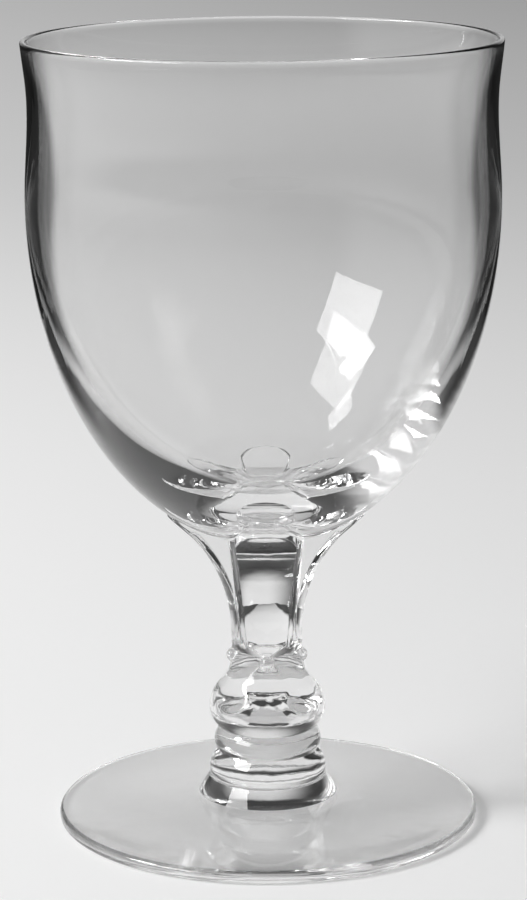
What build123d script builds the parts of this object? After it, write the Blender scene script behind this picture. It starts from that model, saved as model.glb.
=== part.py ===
from build123d import *
import os

# Water goblet of clear crystal, made as three pieces of glass that are joined hot: a blown bowl, a
# pressed stem with four petals and a cast foot. Lengths are in millimetres. +Z is up, and the origin
# is the middle of the foot's underside.

# Foot: a disc whose top rises from the edge to the seat of the stem
foot_radius = 40.9
foot_edge = 2.3
foot_edge_round = 0.9
foot_rise = 2.5
foot_sag = 0.35

# Stem, turned part: a collar that spreads on to the foot, two rings above it, a round knop and its throat
seat_radius = 13.5
collar_radius = 11.3
collar_height = 3.6
lower_ring_radius = 11.1
lower_ring_height = 5.1
groove_radius = 9.8
upper_ring_radius = 10.4
upper_ring_height = 4.5
neck_radius = 9.2
knop_under_height = 4.0
knop_girth = 11.3
knop_top_height = 10.0
throat_radius = 7.0

# Stem, pressed part: four petals with flat faces that open like a trumpet under the bowl. Above a pinch
# hollows part the petals, below it flats are pressed into the knop, and a bead sits on each face there
petal_count = 4
pinch_height = 11.2
flat_lean = 31.3
petal_end_lean = 40
petal_low = 3.6
petal_high = 6.2
hollow_round = 1.5
waist_height = 4.4
trumpet_radius = 18.9
trumpet_height = 23.3
bead_radius = 1.4
bead_reach = 6.5
bead_drop = 1.0

# Bowl: half an egg below the belly, then a slight neck and a lip that turns out
bowl_sink = 5.7
belly_radius = 44.95
belly_depth = 66.4
bowl_neck_radius = 44.3
bowl_neck_rise = 21.2
rim_radius = 45.2
rim_rise = 30.4
rim_lean = 0.08
belly_wall = 2.3
neck_wall = 1.5
rim_wall = 1.1
base_thickness = 9.2

# Heights of the levels, added up from the table
seat_z = foot_edge + foot_rise
collar_z = seat_z + collar_height
groove_z = collar_z + lower_ring_height
neck_z = groove_z + upper_ring_height
girth_z = neck_z + knop_under_height
throat_z = girth_z + knop_top_height
pinch_z = girth_z + pinch_height
waist_z = pinch_z + waist_height
lip_z = waist_z + trumpet_height
pole_z = lip_z - bowl_sink
belly_z = pole_z + belly_depth
bowl_neck_z = belly_z + bowl_neck_rise
rim_z = belly_z + rim_rise
turn = 360 / petal_count
outside = 2 * trumpet_radius
# Flats of this reach just meet in the middle of the petal faces
pinch_reach = throat_radius / 2**0.5
# Weights that make a curve of three control points a quarter of an ellipse
quarter_ellipse = [1, 0.5**0.5, 1]

os.makedirs("parts", exist_ok=True)

# Foot: cast disc, flat underneath, with a flat seat for the stem in the middle of its top
with BuildPart() as foot:
    with BuildSketch(Plane.XZ) as foot_section:
        with BuildLine():
            Polyline((0, seat_z), (0, 0), (foot_radius, 0), (foot_radius, foot_edge))
            middle_radius = (foot_radius + seat_radius) / 2
            middle_z = (foot_edge + seat_z) / 2 - foot_sag
            ThreePointArc((foot_radius, foot_edge), (middle_radius, middle_z), (seat_radius, seat_z))
            Line((seat_radius, seat_z), (0, seat_z))
        make_face()
        fillet(foot_section.vertices().group_by(Axis.X)[-1], foot_edge_round)
    revolve(axis=Axis.Z)
foot.part.label = "foot"
export_step(foot.part, "parts/foot.step")

# Outside of the bowl below the belly, which is also the form of the stem's cradle
with BuildPart() as bowl_form:
    with BuildSketch(Plane.XZ):
        with BuildLine():
            Bezier((0, pole_z), (belly_radius, pole_z), (belly_radius, belly_z), weights=quarter_ellipse)
            Polyline((belly_radius, belly_z), (0, belly_z), (0, pole_z))
        make_face()
    revolve(axis=Axis.Z)

# Bowl: blown, thick at the bottom and thin at the rim, which is melted round
with BuildPart() as bowl:
    with BuildSketch(Plane.XZ):
        with BuildLine():
            inner_pole_z = pole_z + base_thickness
            inner_belly = belly_radius - belly_wall
            inner_rim = rim_radius - rim_wall
            round_z = rim_z - rim_wall / 2
            Bezier((0, pole_z), (belly_radius, pole_z), (belly_radius, belly_z), weights=quarter_ellipse)
            Spline(
                (belly_radius, belly_z),
                (bowl_neck_radius, bowl_neck_z),
                (rim_radius, round_z),
                tangents=[(0, 1), (rim_lean, 1)],
            )
            ThreePointArc((rim_radius, round_z), (rim_radius - rim_wall / 2, rim_z), (inner_rim, round_z))
            Spline(
                (inner_rim, round_z),
                (bowl_neck_radius - neck_wall, bowl_neck_z),
                (inner_belly, belly_z),
                tangents=[(-rim_lean, -1), (0, -1)],
            )
            Bezier(
                (inner_belly, belly_z),
                (inner_belly, inner_pole_z),
                (0, inner_pole_z),
                weights=quarter_ellipse,
            )
            Line((0, inner_pole_z), (0, pole_z))
        make_face()
    revolve(axis=Axis.Z)
bowl.part.label = "bowl"
export_step(bowl.part, "parts/bowl.step")

# Pressed part before its corners are cut: the same outline seen from the front and from the side
with BuildPart() as four_faces:
    with BuildSketch(Plane.XZ):
        with BuildLine():
            Polyline((0, pinch_z), (throat_radius, pinch_z), (throat_radius, waist_z))
            TangentArc((throat_radius, waist_z), (trumpet_radius, lip_z), tangent=(0, 1))
            Polyline((trumpet_radius, lip_z), (trumpet_radius, belly_z), (0, belly_z), (0, pinch_z))
        make_face()
        mirror(about=Plane.YZ)
    extrude(amount=trumpet_radius, both=True)
    add(four_faces.part.rotate(Axis.Z, turn), mode=Mode.INTERSECT)

# What the mould takes off at the pinch: a flat on the knop below it, and the lower ends of two petals above
with BuildPart() as pinch_relief:
    with BuildSketch(Plane.XZ):
        with BuildLine():
            below = PolarLine((pinch_reach, pinch_z), outside, flat_lean - 90)
            above = PolarLine((pinch_reach, pinch_z), outside, 90 - petal_end_lean)
            Polyline(below @ 1, (outside, (below @ 1).Y), (outside, (above @ 1).Y), above @ 1)
        make_face()
    extrude(amount=trumpet_radius, both=True)

# What the mould takes off between two petals: a hollow with straight sides and a round inner edge
with BuildPart() as hollow_relief:
    with BuildSketch(Plane.XZ):
        with BuildLine():
            petal_side = (petal_high - petal_low) / (lip_z - pinch_z)
            petal_top = petal_low + petal_side * (belly_z - pinch_z)
            Polyline(
                (petal_low, pinch_z),
                (petal_top, belly_z),
                (outside, belly_z),
                (outside, pinch_z),
                close=True,
            )
        make_face()
    extrude(amount=outside, both=True)
    add(hollow_relief.part.rotate(Axis.Z, turn), mode=Mode.INTERSECT)
    fillet(hollow_relief.edges().sort_by_distance((0, 0, waist_z))[0], hollow_round)

# Stem: collar, rings and knop, and on them the petals, with a bead under each and a cradle that fits the bowl
with BuildPart() as stem:
    with BuildSketch(Plane.XZ):
        with BuildLine():
            shoulder = ((knop_girth + throat_radius) / 2, (girth_z + throat_z) / 2)
            Polyline((0, seat_z), (seat_radius, seat_z), (collar_radius, collar_z))
            ThreePointArc(
                (collar_radius, collar_z),
                (lower_ring_radius, (collar_z + groove_z) / 2),
                (groove_radius, groove_z),
            )
            ThreePointArc(
                (groove_radius, groove_z),
                (upper_ring_radius, (groove_z + neck_z) / 2),
                (neck_radius, neck_z),
            )
            TangentArc((knop_girth, girth_z), (neck_radius, neck_z), tangent=(0, -1))
            TangentArc((knop_girth, girth_z), shoulder, tangent=(0, 1))
            TangentArc((throat_radius, throat_z), shoulder, tangent=(0, -1))
            Polyline((throat_radius, throat_z), (throat_radius, pinch_z), (0, pinch_z), (0, seat_z))
        make_face()
    revolve(axis=Axis.Z)
    add(four_faces.part)
    with PolarLocations(0, petal_count, start_angle=turn / 2):
        add(pinch_relief.part, mode=Mode.SUBTRACT)
    with PolarLocations(0, petal_count):
        add(hollow_relief.part, mode=Mode.SUBTRACT)
    with PolarLocations(bead_reach, petal_count):
        with Locations((0, 0, pinch_z - bead_drop)):
            Sphere(bead_radius)
    add(bowl_form.part, mode=Mode.SUBTRACT)
stem.part.label = "stem"
export_step(stem.part, "parts/stem.step")
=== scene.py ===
from math import cos, pi, radians

import bpy
import numpy as np
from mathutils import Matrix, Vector


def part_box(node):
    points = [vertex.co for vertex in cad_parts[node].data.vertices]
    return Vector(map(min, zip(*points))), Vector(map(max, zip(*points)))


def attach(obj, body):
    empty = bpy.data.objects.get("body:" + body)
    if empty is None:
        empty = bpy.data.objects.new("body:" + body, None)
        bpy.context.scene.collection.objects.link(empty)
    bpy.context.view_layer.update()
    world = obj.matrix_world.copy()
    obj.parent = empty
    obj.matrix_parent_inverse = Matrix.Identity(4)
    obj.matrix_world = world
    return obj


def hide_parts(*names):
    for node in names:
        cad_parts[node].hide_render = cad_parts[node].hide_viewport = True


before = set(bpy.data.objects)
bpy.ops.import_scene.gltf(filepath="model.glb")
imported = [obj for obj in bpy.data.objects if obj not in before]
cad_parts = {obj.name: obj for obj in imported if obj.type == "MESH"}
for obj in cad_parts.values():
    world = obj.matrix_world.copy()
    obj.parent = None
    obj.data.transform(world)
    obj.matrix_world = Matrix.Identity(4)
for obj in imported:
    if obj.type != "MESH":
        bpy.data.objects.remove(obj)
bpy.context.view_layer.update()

# Foot: a disc of clear crystal, cast hot on the end of the stem. Its top rises gently to the seat of the
# stem, its edge is melted round, and underneath it is hollow by a little, so that it stands on a flat ring.
mm = 0.001
foot_edge = 2.3 * mm
foot_edge_round = 0.9 * mm
foot_sag = 0.2 * mm
foot_hollow = 2.0 * mm
foot_ring = 37.0 * mm
seat_radius = 13.5 * mm
columns = 400
sharp_angle = radians(40)
refractive_index = 1.52
ripple_detail = 1.5
wear_scale = 900.0
wear_detail = 3.0
edge_rows = 12
face_rows = 60


class Shade:
    """A node socket whose plus, minus, times and divide add the matching Math nodes."""

    def __init__(self, tree, socket=None):
        self.tree = tree
        self.socket = socket

    def node(self, kind, settings=None, sockets=None, out=0):
        """Adds one node: its settings first, then its sockets, each a value or another Shade."""
        node = self.tree.nodes.new(kind)
        for key, value in (settings or {}).items():
            setattr(node, key, value)
        for key, value in (sockets or {}).items():
            if isinstance(value, Shade):
                self.tree.links.new(value.socket, node.inputs[key])
            else:
                node.inputs[key].default_value = value
        return Shade(self.tree, node.outputs[out] if len(node.outputs) else None)

    def maths(self, operation, first, second):
        """Adds one Math node with two values."""
        return self.node("ShaderNodeMath", {"operation": operation}, {0: first, 1: second})

    def __add__(self, other):
        return self.maths("ADD", self, other)

    def __sub__(self, other):
        return self.maths("SUBTRACT", self, other)

    def __rsub__(self, other):
        return self.maths("SUBTRACT", other, self)

    def __mul__(self, other):
        return self.maths("MULTIPLY", self, other)

    def __truediv__(self, other):
        return self.maths("DIVIDE", self, other)

    def __rtruediv__(self, other):
        return self.maths("DIVIDE", other, self)

    __radd__ = __add__
    __rmul__ = __mul__


def new_material(name):
    """An empty node material, with a Shade to start its nodes from."""
    material = bpy.data.materials.new(name)
    material.use_nodes = True
    material.node_tree.nodes.clear()
    return material, Shade(material.node_tree)


def crystal(name, clearness, ripple_scale, ripple_depth, haze):
    """Clear crystal: how much light each face lets through, ripples of a scale and a depth in the skin, and
    haze that varies with fine wear."""
    material, start = new_material(name)
    place = start.node("ShaderNodeTexCoord", out="Object")
    ripple_sockets = {"Vector": place, "Scale": ripple_scale, "Detail": ripple_detail}
    ripple = start.node("ShaderNodeTexNoise", {}, ripple_sockets)
    wear_sockets = {"Vector": place, "Scale": wear_scale, "Detail": wear_detail}
    wear = start.node("ShaderNodeTexNoise", {}, wear_sockets)
    relief = start.node("ShaderNodeBump", {}, {"Height": ripple, "Strength": 1.0, "Distance": ripple_depth})
    glass = start.node(
        "ShaderNodeBsdfPrincipled",
        {},
        {
            "Base Color": (clearness, clearness, clearness, 1),
            "Roughness": haze * wear,
            "IOR": refractive_index,
            "Transmission Weight": 1.0,
            "Normal": relief,
        },
    )
    start.node("ShaderNodeOutputMaterial", {}, {"Surface": glass})
    return material


def fused_joint():
    """Where two pieces of hot glass have run together: nothing shows, so the face lets light straight on."""
    material, start = new_material("fused_joint")
    joint = start.node("ShaderNodeBsdfPrincipled", {}, {"Base Color": (1, 1, 1, 1), "Alpha": 0.0})
    start.node("ShaderNodeOutputMaterial", {}, {"Surface": joint})
    return material


def closed_form(name, radius, height, angle, joint_bands, finishes):
    """A closed skin round the Z axis. Row i, column j of the grid lies at radius[i, j] and height[i, j], on
    the half-plane at angle[i, j]; the first and last rows are poles on the axis, and joint_bands marks the
    bands of faces that are fused."""
    radius, height, angle = np.broadcast_arrays(radius, height, angle)
    rings, tops, turns = radius[1:-1], height[1:-1], angle[1:-1]
    points = np.stack([rings * np.cos(turns), rings * np.sin(turns), tops], axis=-1).reshape(-1, 3)
    poles = np.array([[0, 0, height[0, 0]], [0, 0, height[-1, 0]]])
    here = np.arange(rings.size).reshape(rings.shape)
    beside = np.roll(here, -1, axis=1)
    quads = np.stack([here[:-1], beside[:-1], beside[1:], here[1:]], axis=-1).reshape(-1, 4)
    first = np.stack([np.full(columns, rings.size), beside[0], here[0]], axis=-1)
    last = np.stack([np.full(columns, rings.size + 1), here[-1], beside[-1]], axis=-1)
    mesh = bpy.data.meshes.new(name)
    mesh.from_pydata(np.vstack([points, poles]), [], first.tolist() + quads.tolist() + last.tolist())
    for finish in finishes:
        mesh.materials.append(finish)
    mesh.polygons.foreach_set("material_index", np.repeat(np.asarray(joint_bands, dtype=np.int32), columns))
    mesh.shade_smooth()
    mesh.set_sharp_from_angle(angle=sharp_angle)
    piece = bpy.data.objects.new(name, mesh)
    bpy.context.scene.collection.objects.link(piece)
    return piece


def profile_rows(*stretches):
    """Joins stretches of (radius, height) points into two columns of grid rows."""
    rows = np.vstack([np.stack(np.broadcast_arrays(*stretch), axis=-1) for stretch in stretches])
    return rows[:, :1], rows[:, 1:]


foot_radius, _, seat_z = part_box("foot")[1]
quarter = np.linspace(0, pi / 2, edge_rows)
edge_middle = foot_radius - foot_edge_round
rise = np.linspace(0, 1, face_rows)
foot_top_radius = edge_middle + (seat_radius - edge_middle) * rise
foot_top_z = foot_edge + (seat_z - foot_edge) * rise - 4 * foot_sag * rise * (1 - rise)
under_radius = np.linspace(0, foot_ring, face_rows)
foot_r, foot_h = profile_rows(
    (under_radius, foot_hollow * (1 + np.cos(pi * under_radius / foot_ring)) / 2),
    (edge_middle + foot_edge_round * np.sin(quarter), foot_edge_round * (1 - np.cos(quarter))),
    (edge_middle + foot_edge_round * np.cos(quarter), foot_edge - foot_edge_round * (1 - np.sin(quarter))),
    (foot_top_radius[1:], foot_top_z[1:]),
    (np.array([0]), seat_z),
)
joint_glass = fused_joint()
foot_joint = np.arange(len(foot_r) - 1) == len(foot_r) - 2
foot_glass = crystal("foot_crystal", clearness=0.985, ripple_scale=160.0, ripple_depth=0.02 * mm, haze=0.03)
round_angle = 2 * pi * np.arange(columns)[None, :] / columns
foot = closed_form("foot_crystal_disc", foot_r, foot_h, round_angle, foot_joint, [foot_glass, joint_glass])
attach(foot, "root")
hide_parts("foot")

# Stem: one pressing of clear crystal. A collar and two rings carry a round knop, and above it four petals
# open like a trumpet into a cradle for the bowl. Hollows part the petals down to a pinch, flats are pressed
# into the knop below it, and a bead sits on each face between them. All edges are fire-polished.
collar_radius = 11.3 * mm
collar_height = 3.6 * mm
lower_ring_radius = 11.1 * mm
lower_ring_height = 5.1 * mm
groove_radius = 9.8 * mm
upper_ring_radius = 10.4 * mm
upper_ring_height = 4.5 * mm
neck_radius = 9.2 * mm
knop_under_height = 4.0 * mm
knop_girth = 11.3 * mm
knop_top_height = 10.0 * mm
throat_radius = 7.0 * mm
petal_count = 4
pinch_height = 11.2 * mm
flat_lean = radians(31.3)
petal_end_lean = radians(40)
petal_end_height = 3.6 * mm
petal_low = 3.6 * mm
petal_high = 6.2 * mm
hollow_round = 1.5 * mm
waist_height = 3.8 * mm
trumpet_radius = 18.9 * mm
trumpet_height = 23.3 * mm
bead_radius = 1.4 * mm
bead_reach = 6.5 * mm
bead_drop = 1.0 * mm
petal_edge = 0.5 * mm
edge_melt = 0.12 * mm
lip_radius = 19.4 * mm
lip_lean = 0.9
lip_melt = 0.15 * mm
lip_bend = 0.8 * mm
lip_bend_share = 0.95
tongue_half = 6.7 * mm
tongue_root = 9.3 * mm
bowl_sink = 5.1 * mm
belly_radius = 44.95 * mm
belly_depth = 66.4 * mm

collar_z = seat_z + collar_height
groove_z = collar_z + lower_ring_height
neck_z = groove_z + upper_ring_height
girth_z = neck_z + knop_under_height
throat_z = girth_z + knop_top_height
pinch_z = girth_z + pinch_height
waist_z = pinch_z + waist_height
lip_z = waist_z + trumpet_height
pole_z = lip_z - bowl_sink
half_turn = pi / petal_count
pinch_reach = throat_radius * cos(half_turn)
face_share = 0.36
edge_share = 0.56
least_edge = 0.04
most_edge = 0.9 * half_turn
least_away = 0.01
longest_run = 1.1
settling_steps = 60
flare_steps = 70
lip_steps = 13
joint_steps = 12


def bowl_outside(radius):
    """Height of the bowl's outside at a radius: the lower half of an ellipse turned about the axis."""
    return pole_z + belly_depth * (1 - np.sqrt(1 - (radius / belly_radius) ** 2))


def bulge(z, low, middle, high):
    """Radius at height z on the parabola through three (radius, height) points."""
    radii, heights = zip(low, middle, high)
    return np.polyval(np.polyfit(heights, radii, 2), z)


def leaving(run, reach, rise):
    """How far an arc has moved sideways after a run along its first direction, if it leaves that direction
    smoothly and has moved by reach after rise. The run is held to a little more than the rise."""
    arc = (rise**2 + reach**2) / (2 * reach)
    return arc - np.sqrt(arc**2 - np.clip(run, 0, longest_run * rise) ** 2)


def melted(first, second, melt):
    """The lesser of two radii, rounded where they meet as flame-polished glass is; with melt below nought
    the greater of the two."""
    gap = (second - first) / melt
    return np.where(gap > 0, first, second) - melt * np.log1p(np.exp(-np.abs(gap)))


def turned(z):
    """Radius of the round form at height z: collar, two rings, knop, throat and trumpet. The knop goes in
    under its girth by one arc, and above it to the throat by two equal arcs that make an S."""
    half_in, half_up = (knop_girth - throat_radius) / 2, knop_top_height / 2
    lower_middle, upper_middle = (collar_z + groove_z) / 2, (groove_z + neck_z) / 2
    return np.select(
        [z <= collar_z, z <= groove_z, z <= neck_z, z <= girth_z, z <= girth_z + half_up, z <= throat_z],
        [
            seat_radius + (collar_radius - seat_radius) * (z - seat_z) / collar_height,
            bulge(z, (collar_radius, collar_z), (lower_ring_radius, lower_middle), (groove_radius, groove_z)),
            bulge(z, (groove_radius, groove_z), (upper_ring_radius, upper_middle), (neck_radius, neck_z)),
            knop_girth - leaving(girth_z - z, knop_girth - neck_radius, knop_under_height),
            knop_girth - leaving(z - girth_z, half_in, half_up),
            throat_radius + leaving(throat_z - z, half_in, half_up),
        ],
        throat_radius + leaving(z - waist_z, trumpet_radius - throat_radius, trumpet_height),
    )


def petal_half(z):
    """Half the width of a petal's face, which widens evenly from the pinch to the lip."""
    return petal_low + (petal_high - petal_low) * (z - pinch_z) / (lip_z - pinch_z)


def flat_reach(z):
    """Distance from the axis of the flats between the petals: it grows from the pinch, downwards with the
    lean of the flats and upwards with the lean of the petals' lower ends."""
    lean = np.where(z < pinch_z, np.tan(flat_lean), np.tan(petal_end_lean))
    return pinch_reach + lean * np.abs(z - pinch_z)


def petals(z, away):
    """Radius of the four petals: the face, its rounded edge, the flat side of the petal, and the round inner
    edge of the hollow, as the angle away from the middle of the petal grows."""
    reach, half = turned(z), petal_half(z)
    edge_out, edge_y = reach - petal_edge, half - petal_edge
    edge_turn = np.arcsin(edge_y / edge_out)
    edge_in = np.clip(petal_edge**2 - (edge_out * np.sin(away - edge_turn)) ** 2, 0, None)
    edge = edge_out * np.cos(away - edge_turn) + np.sqrt(edge_in)
    inner_out = (half + hollow_round) * 2**0.5
    inner_in = np.clip(hollow_round**2 - (inner_out * np.sin(away - half_turn)) ** 2, 0, None)
    inner = inner_out * np.cos(away - half_turn) - np.sqrt(inner_in)
    side_turn = np.arctan2(half, edge_out * np.cos(edge_turn))
    return np.select(
        [away < edge_turn, away < side_turn, away < np.arctan2(half, half + hollow_round)],
        [reach, edge, half / np.sin(np.maximum(away, least_away))],
        inner,
    )


def tongue(away):
    """Radius of a petal's rounded end seen from above: half an ellipse that starts at the tongue's root."""
    long = lip_radius - tongue_root
    along, across = np.cos(away) / long, np.sin(away) / tongue_half
    middle = along * tongue_root / long
    square = along**2 + across**2
    inside = np.clip(middle**2 - square * ((tongue_root / long) ** 2 - 1), 0, None)
    end = (middle + np.sqrt(inside)) / square
    return np.where(np.tan(away) * tongue_root < tongue_half, end, lip_radius)


def bead(z, away):
    """Radius to the far side of a ball on a face, or nought where a line out from the axis misses it."""
    inside = bead_radius**2 - (z - pinch_z + bead_drop) ** 2 - (bead_reach * np.sin(away)) ** 2
    return np.where(inside > 0, bead_reach * np.cos(away) + np.sqrt(np.clip(inside, 0, None)), 0)


def stem_outside(z, away):
    """Radius of the finished stem: the round form below the pinch and petals above it, which end in tongues
    that lean in at the bowl, both cut by the flats, and beads."""
    z, away = np.broadcast_arrays(z, away)
    ends = tongue(away) - lip_lean * np.clip(z - lip_z, 0, None)
    form = np.where(z < waist_z, turned(z), melted(turned(z), ends, lip_melt))
    form = np.where(z < pinch_z, form, melted(form, petals(z, away), edge_melt))
    pressed = melted(form, flat_reach(z) / np.cos(half_turn - away), edge_melt)
    return melted(pressed, bead(z, away), -edge_melt)


def stem_away(z, share):
    """Angle of a column from the middle of its petal at height z. The share of a column runs from 0 in the
    middle of a petal to 1 in the middle of a hollow, and columns gather on the edge between face and flat."""
    flat_edge = half_turn - np.arccos(np.clip(flat_reach(z) / turned(z), 0, 1))
    side_edge = np.arcsin(np.clip(petal_half(z) / turned(z), 0, 1))
    edge = np.where(z < pinch_z, flat_edge, np.minimum(flat_edge, side_edge))
    settled = np.clip((z - groove_z) / (girth_z - groove_z), 0, 1)
    edge = half_turn / 2 + (np.clip(edge, least_edge, most_edge) - half_turn / 2) * settled
    gather = petal_edge / turned(z)
    low, high = np.maximum(edge - gather, edge / 2), np.minimum(edge + gather, (edge + half_turn) / 2)
    return np.select(
        [share < face_share, share < edge_share],
        [
            low * share / face_share,
            low + (high - low) * (share - face_share) / (edge_share - face_share),
        ],
        high + (half_turn - high) * (share - edge_share) / (1 - edge_share),
    )


column = np.arange(columns)[None, :] / (columns / petal_count / 2)
share = 1 - np.abs(1 - column % 2)
rising = column % 2 <= 1
petal_turn = -pi / 2 + 2 * half_turn * (column // 2)


def stem_angle(away):
    """Angle round the axis of every column: each petal's columns run up to its hollow, and then on to the
    middle of the next petal."""
    return petal_turn + np.where(rising, away, 2 * half_turn - away)


# The top of the stem lies on the bowl, so its height and its radius are worked out in turn until they settle
top_z = lip_z + 0 * share
for _ in range(settling_steps):
    top_z = bowl_outside(stem_outside(top_z, stem_away(top_z, share)))
joint_away = stem_away(top_z, share)
joint_angle = stem_angle(joint_away)
joint_r = stem_outside(top_z, joint_away)

petal_end_z = pinch_z + petal_end_height
joints = [seat_z, collar_z, groove_z, neck_z, girth_z, throat_z, pinch_z, petal_end_z]
steps = [8, 16, 14, 14, 36, 10, 26]
even_rows = [
    np.linspace(low, high, step, endpoint=False) for low, high, step in zip(joints, joints[1:], steps)
]
bend_z = np.minimum(lip_z - lip_bend, petal_end_z + lip_bend_share * (top_z - petal_end_z))
flare_rows = petal_end_z + (bend_z - petal_end_z) * np.linspace(0, 1, flare_steps)[:, None]
lip_rows = bend_z + (top_z - bend_z) * np.linspace(0, 1, lip_steps)[1:, None]
level = np.vstack([np.concatenate(even_rows)[:, None] + 0 * share, flare_rows, lip_rows])
away = stem_away(level, share)
inward = np.linspace(1, 0, joint_steps)[1:, None]
stem_r = np.vstack([0 * share, stem_outside(level, away), joint_r * inward])
stem_h = np.vstack([seat_z + 0 * share, level, bowl_outside(joint_r * inward)])
stem_a = np.vstack([stem_angle(away[:1]), stem_angle(away), joint_angle + 0 * inward])
stem_joint = np.zeros(len(stem_r) - 1, dtype=bool)
stem_joint[0] = True
stem_joint[-len(inward):] = True
stem_glass = crystal("stem_crystal", clearness=0.985, ripple_scale=300.0, ripple_depth=0.06 * mm, haze=0.04)
stem = closed_form("stem_crystal_pressing", stem_r, stem_h, stem_a, stem_joint, [stem_glass, joint_glass])
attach(stem, "root")
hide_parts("stem")

# Bowl: blown from clear crystal, thick at the bottom and thin at the rim, with a slight neck and a lip
# that turns out. It is set into the stem's cradle while both are hot, and the rim is melted round.
bowl_neck_radius = 44.3 * mm
bowl_neck_rise = 21.2 * mm
rim_lean = 0.08
belly_wall = 2.3 * mm
neck_wall = 1.5 * mm
rim_wall = 1.1 * mm
base_thickness = 8.5 * mm
even_radius = 26 * mm
spread_steps = 12
side_steps = 50
wall_steps = 40
rim_steps = 14
inner_steps = 70

rim_radius, _, rim_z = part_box("bowl")[1]
belly_z = pole_z + belly_depth
bowl_neck_z = belly_z + bowl_neck_rise
round_z = rim_z - rim_wall / 2


def upper_wall(z, at_belly, at_neck, at_rim):
    """Radius of the upper wall at height z: two cubic curves, upright at the belly and leaning out at the
    rim, that pass through the neck with one slope and one curvature."""
    below = bowl_neck_z - belly_z
    above = round_z - bowl_neck_z
    pull = 3 * ((at_neck - at_belly) / below**2 + (at_rim - at_neck) / above**2) - rim_lean / above
    lean = pull / (2 / below + 2 / above)
    low = z < bowl_neck_z
    span = np.where(low, below, above)
    t = (z - np.where(low, belly_z, bowl_neck_z)) / span
    start, end = np.where(low, at_belly, at_neck), np.where(low, at_neck, at_rim)
    start_lean, end_lean = np.where(low, 0, lean), np.where(low, lean, rim_lean)
    level_part = start + (end - start) * t**2 * (3 - 2 * t)
    return level_part + span * t * (1 - t) * (start_lean * (1 - t) - end_lean * t)


outward = np.linspace(0, 1, joint_steps)[:, None]
spread = np.linspace(0, 1, spread_steps)[1:, None]
near_r = joint_r + (even_radius - joint_r) * spread
start_angle = np.arcsin(even_radius / belly_radius)
swing = np.linspace(start_angle, pi / 2, side_steps)[1:, None]
wall_z = np.linspace(belly_z, round_z, wall_steps)[1:, None]
rim_roll = np.linspace(0, pi, rim_steps)[1:-1, None]
inner_belly = belly_radius - belly_wall
inner_depth = belly_depth - base_thickness
inner_swing = np.linspace(pi / 2, 0, inner_steps)[1:, None]
inner_r = inner_belly * np.sin(inner_swing)
bowl_r = np.vstack(
    [
        joint_r * outward,
        near_r,
        belly_radius * np.sin(swing) + 0 * joint_r,
        upper_wall(wall_z, belly_radius, bowl_neck_radius, rim_radius) + 0 * joint_r,
        rim_radius - rim_wall / 2 * (1 - np.cos(rim_roll)) + 0 * joint_r,
        upper_wall(
            wall_z[::-1], inner_belly, bowl_neck_radius - neck_wall, rim_radius - rim_wall
        ) + 0 * joint_r,
        inner_r + 0 * joint_r,
    ]
)
bowl_h = np.vstack(
    [
        bowl_outside(joint_r * outward),
        bowl_outside(near_r),
        belly_z - belly_depth * np.cos(swing) + 0 * joint_r,
        wall_z + 0 * joint_r,
        round_z + rim_wall / 2 * np.sin(rim_roll) + 0 * joint_r,
        wall_z[::-1] + 0 * joint_r,
        belly_z - inner_depth * np.cos(inner_swing) + 0 * joint_r,
    ]
)
bowl_joint = np.arange(len(bowl_r) - 1) < len(outward) - 1
bowl_glass = crystal("bowl_crystal", clearness=0.9, ripple_scale=45.0, ripple_depth=0.03 * mm, haze=0.01)
bowl = closed_form("bowl_crystal_blown", bowl_r, bowl_h, joint_angle, bowl_joint, [bowl_glass, joint_glass])
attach(bowl, "root")
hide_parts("bowl")

# Floor: a wide sheet of pale paper that takes the shadow. It also glows with painted light, brightest round
# the
# goblet and on the left. In the glass it is painted near-black on either side of a pale strip behind the
# goblet:
# a painted dark surround which draws the edges of the bowl.
floor_gap = 0.1 * mm
floor_half = 12.0
# Painted light on the paper: its glow near the goblet and far off, and how it grows on the left and fades on
# the right.
painted_light_near = 0.35
painted_light_far = 0.17
painted_light_reach = (0.1, 1.0)
painted_light_left = 1.35
painted_light_right = 0.65
painted_light_side = 0.4
paper_matt = 0.6
strip_half = 0.085
strip_spread = 0.12
strip_blur = 0.05
strip_start = (-0.3, -0.1)
near_radius = 0.1
near_blur = 0.06
# Painted dark surround: the near-black tone the paper shows only to rays in the glass, and the turn behind
# the goblet where it begins.
painted_dark_tone = 0.03
painted_dark_turn = (0.45, 0.7)


def ramp(value, low, high, start_value=0.0, end_value=1.0):
    """A smooth step: start_value while the value is below low, end_value once it is above high."""
    sockets = {"Value": value, "From Min": low, "From Max": high, "To Min": start_value, "To Max": end_value}
    return value.node("ShaderNodeMapRange", {"interpolation_type": "SMOOTHSTEP"}, sockets)


sheet_mesh = bpy.data.meshes.new("floor")
sheet_corners = floor_half * np.array([[-1, -1], [1, -1], [1, 1], [-1, 1]])
sheet_mesh.from_pydata(np.column_stack([sheet_corners, np.full(4, -floor_gap)]), [], [[0, 1, 2, 3]])
paper, start = new_material("paper_and_painted_light")
spot = start.node("ShaderNodeTexCoord", out="Object")
across, along = [start.node("ShaderNodeSeparateXYZ", {}, {"Vector": spot}, out=axis) for axis in (0, 1)]
away_from = start.node("ShaderNodeVectorMath", {"operation": "LENGTH"}, {"Vector": spot}, out="Value")
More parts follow.
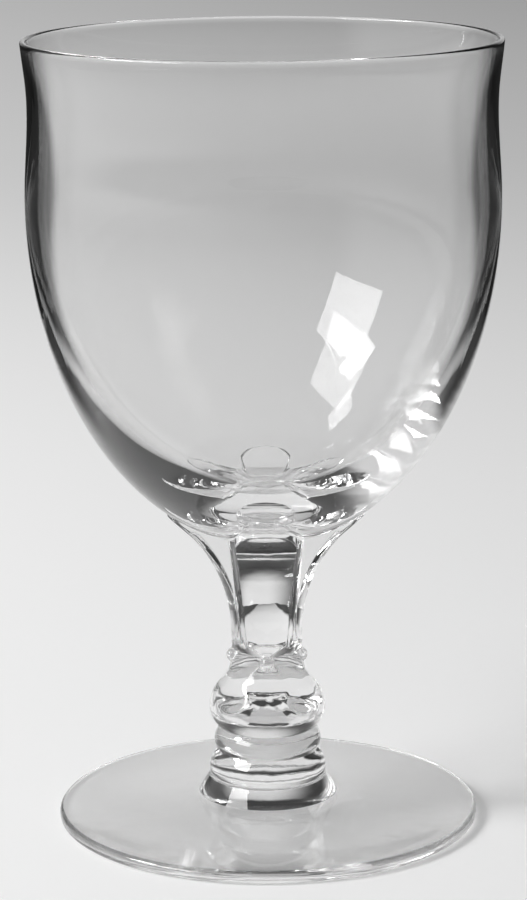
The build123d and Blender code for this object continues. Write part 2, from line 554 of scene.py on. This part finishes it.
# Painted light: the paper's glow is brighter round the goblet and on the left, a painted pool of light.
painted_paper_light = ramp(away_from, *painted_light_reach, painted_light_near, painted_light_far)
painted_paper_light = painted_paper_light * ramp(across, -painted_light_side, painted_light_side, painted_light_left, painted_light_right)
beside = start.node("ShaderNodeMath", {"operation": "ABSOLUTE"}, {0: across}) - along * strip_spread
strip = ramp(beside, strip_half, strip_half + strip_blur, 1.0, 0.0) * ramp(along, *strip_start)
near = ramp(away_from, near_radius, near_radius + near_blur, 1.0, 0.0)
pale = start.maths("MAXIMUM", strip, near)
behind = ramp(along / away_from, *painted_dark_turn)
seen_straight = start.node("ShaderNodeLightPath", out="Is Camera Ray")
seen_glossy = start.node("ShaderNodeLightPath", out="Is Glossy Ray")
seen_through = start.node("ShaderNodeLightPath", out="Is Transmission Ray")
seen_in_glass = start.maths("MAXIMUM", seen_glossy, seen_through)
seen = start.maths("MAXIMUM", seen_in_glass, seen_straight)
painted_glow = start.node("ShaderNodeEmission", {}, {"Color": painted_paper_light * seen})
matt = start.node("ShaderNodeBsdfDiffuse", {}, {"Color": (paper_matt, paper_matt, paper_matt, 1)})
lit_paper = start.node("ShaderNodeAddShader", {}, {0: painted_glow, 1: matt})
# Painted dark surround: the paper shows near-black to rays in the glass beside and behind the pale strip,
# drawing the bowl's dark edges.
painted_dark_surround = start.node("ShaderNodeEmission", {}, {"Color": (painted_dark_tone, painted_dark_tone, painted_dark_tone, 1)})
painted_dark_mask = (1.0 - pale) * behind * seen_in_glass * (1.0 - seen_straight)
shown = start.node("ShaderNodeMixShader", {}, {0: painted_dark_mask, 1: lit_paper, 2: painted_dark_surround})
start.node("ShaderNodeOutputMaterial", {}, {"Surface": shown})
sheet_mesh.materials.append(paper)
floor = bpy.data.objects.new("floor", sheet_mesh)
bpy.context.scene.collection.objects.link(floor)

# Light: a soft surround that is bright on the left and behind and dim elsewhere, a wide key lamp on the
# left and a smaller one beside it, which throws the shadow to the right.
surround_left = 0.75
surround_back = 0.72
surround_dim = 0.05
surround_seen = 0.38
left_edge = (-0.85, -0.6)
back_edge = (0.8, 0.95)
back_fade = (0.2, 0.5)
back_fade_tone = 0.5
back_left_edge = (-0.5, 0.0)
back_left_tone = 0.2
overhead_edge = (0.7, 0.95)
overhead_tone = 0.2
goblet_middle = Vector((0, 0, 80 * mm))

world = bpy.data.worlds.new("surround")
world.use_nodes = True
world.node_tree.nodes.clear()
start = Shade(world.node_tree)
towards = start.node("ShaderNodeTexCoord", out="Generated")
east, north, up = [
    start.node("ShaderNodeSeparateXYZ", {}, {"Vector": towards}, out=axis) for axis in (0, 1, 2)
]
left_light = ramp(east, *left_edge, surround_left, surround_dim)
back_light = ramp(north, *back_edge, 0.0, surround_back) * ramp(up, *back_fade, 1.0, back_fade_tone)
back_light = back_light * ramp(east, *back_left_edge, back_left_tone, 1.0)
surround = (left_light + back_light) * ramp(up, *overhead_edge, 1.0, overhead_tone)
straight = start.node("ShaderNodeLightPath", out="Is Camera Ray")
level_tone = surround + (surround_seen - surround) * straight
backdrop = start.node("ShaderNodeBackground", {}, {"Color": level_tone})
start.node("ShaderNodeOutputWorld", {}, {"Surface": backdrop})
bpy.context.scene.world = world


def lamp(name, place, wide, tall, power):
    """A rectangular lamp that looks at the middle of the goblet."""
    light = bpy.data.lights.new(name, "AREA")
    light.shape = "RECTANGLE"
    light.size = wide
    light.size_y = tall
    light.energy = power
    holder = bpy.data.objects.new(name, light)
    holder.location = place
    holder.rotation_euler = (goblet_middle - Vector(place)).to_track_quat("-Z", "Y").to_euler()
    bpy.context.scene.collection.objects.link(holder)


lamp("key_left", place=(-2.44, -1.38, 1.74), wide=1.9, tall=1.2, power=68.0)
lamp("soft_left", place=(-2.27, -0.24, 1.87), wide=0.65, tall=0.65, power=46.0)

# Camera: the photograph's own view, found from the ellipses of the rim and the foot. A ray may bounce often
# enough to pass all the faces of glass that lie behind one another in the stem.
view_distance = 583.9 * mm
view_height = 206.9 * mm
view_pitch = 0.22538
view_roll = 0.00791
focal_pixels = 3119.5
image_height = 900
centre_shift = 1.84
sensor = 36.0
nearest_seen = 10 * mm
light_bounces = 32

camera_data = bpy.data.cameras.new("camera")
camera_data.sensor_fit = "VERTICAL"
camera_data.sensor_height = sensor
camera_data.lens = sensor * focal_pixels / image_height
camera_data.shift_x = -centre_shift / image_height
camera_data.clip_start = nearest_seen
camera = bpy.data.objects.new("camera", camera_data)
camera.rotation_mode = "ZXY"
camera.rotation_euler = (pi / 2 - view_pitch, 0, -view_roll)
camera.location = (0, -view_distance, view_height)
bpy.context.scene.collection.objects.link(camera)
bpy.context.scene.camera = camera
bpy.context.scene.view_settings.view_transform = "Standard"
for bounces in ("max_bounces", "glossy_bounces", "transmission_bounces", "transparent_max_bounces"):
    setattr(bpy.context.scene.cycles, bounces, light_bounces)
